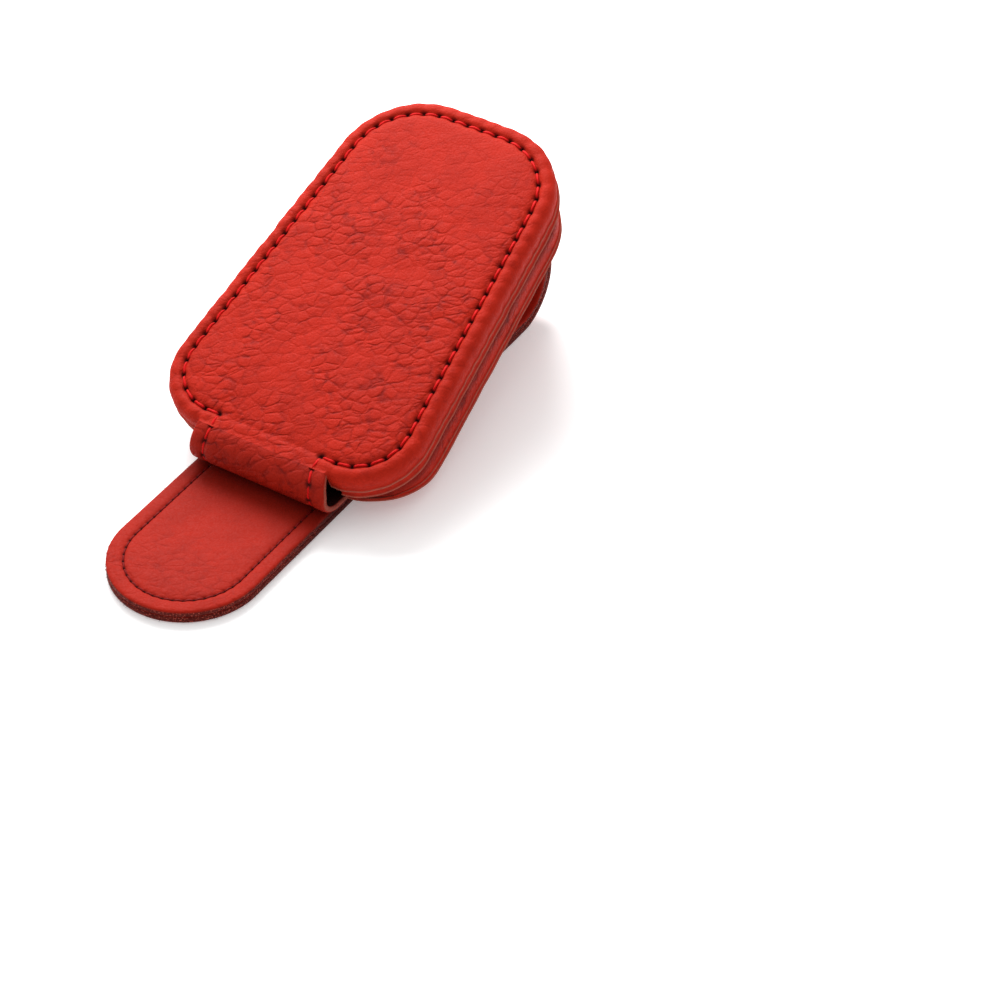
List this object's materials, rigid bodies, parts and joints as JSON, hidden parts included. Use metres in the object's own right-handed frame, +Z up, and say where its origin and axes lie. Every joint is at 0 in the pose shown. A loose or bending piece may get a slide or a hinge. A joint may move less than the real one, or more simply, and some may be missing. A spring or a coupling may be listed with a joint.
{
  "type": "magnetic sunglasses visor clip",
  "caption": "Folding leather pad with a magnetic mouth that grips a pair of glasses, on a leather-covered spring clip that slides over a car sun visor.",
  "frame": {"origin": "centre of the footprint on the floor, with the clip closed and lying on its free arm", "axes": "+X across the clip, +Y from the tongue to the bend of the spring, +Z up"},
  "size_m": [0.055, 0.1186, 0.0413],
  "materials": {
    "red_leather": "matte pebbled grain",
    "red_thread": "satin twisted thread",
    "stiffener_board": "matte",
    "magnet_nickel": "nickel plated",
    "spring_steel": "satin",
    "rivet_metal": "polished nickel"
  },
  "bodies": {
    "clip_arm": {"clip_leaf_arm": "spring_steel", "clip_outer_arm": "red_leather", "clip_inner_arm": "red_leather", "clip_thread": "red_thread"},
    "base": {"base_skin": "red_leather", "base_core": "stiffener_board", "base_lining": "red_leather", "base_thread": "red_thread", "base_magnet_far": "magnet_nickel", "base_magnet_near": "magnet_nickel", "clip_leaf_root": "spring_steel", "clip_outer_root": "red_leather", "clip_inner_root": "red_leather", "clip_rivet_near": "rivet_metal", "clip_rivet_far": "rivet_metal"},
    "neck_1": {"neck_link_1": "red_leather"},
    "neck_2": {"neck_link_2": "red_leather"},
    "neck_3": {"neck_link_3": "red_leather"},
    "flap": {"flap_skin": "red_leather", "flap_core": "stiffener_board", "flap_lining": "red_leather", "flap_thread": "red_thread", "flap_magnet_far": "magnet_nickel", "flap_magnet_near": "magnet_nickel"}
  },
  "joints": [
    {"name": "clip_open", "type": "hinge", "parent": "clip_arm", "child": "base", "pos_m": [0, 0.05569, 0.0123], "axis": [-1, 0, 0], "range_deg": [0, 12], "stiffness_Nm_per_rad": 2.5, "springref_deg": -5.73},
    {"name": "neck_bend_1", "type": "hinge", "parent": "base", "child": "neck_1", "pos_m": [0, -0.02088, 0.00347], "axis": [1, 0, 0], "range_deg": [0, 37.5]},
    {"name": "neck_bend_2", "type": "hinge", "parent": "neck_1", "child": "neck_2", "pos_m": [0, -0.02323, 0.00541], "axis": [1, 0, 0], "range_deg": [0, 37.5]},
    {"name": "neck_bend_3", "type": "hinge", "parent": "neck_2", "child": "neck_3", "pos_m": [0, -0.02379, 0.00841], "axis": [1, 0, 0], "range_deg": [0, 37.5]},
    {"name": "neck_bend_4", "type": "hinge", "parent": "neck_3", "child": "flap", "pos_m": [0, -0.02232, 0.01108], "axis": [1, 0, 0], "range_deg": [0, 37.5]}
  ]
}
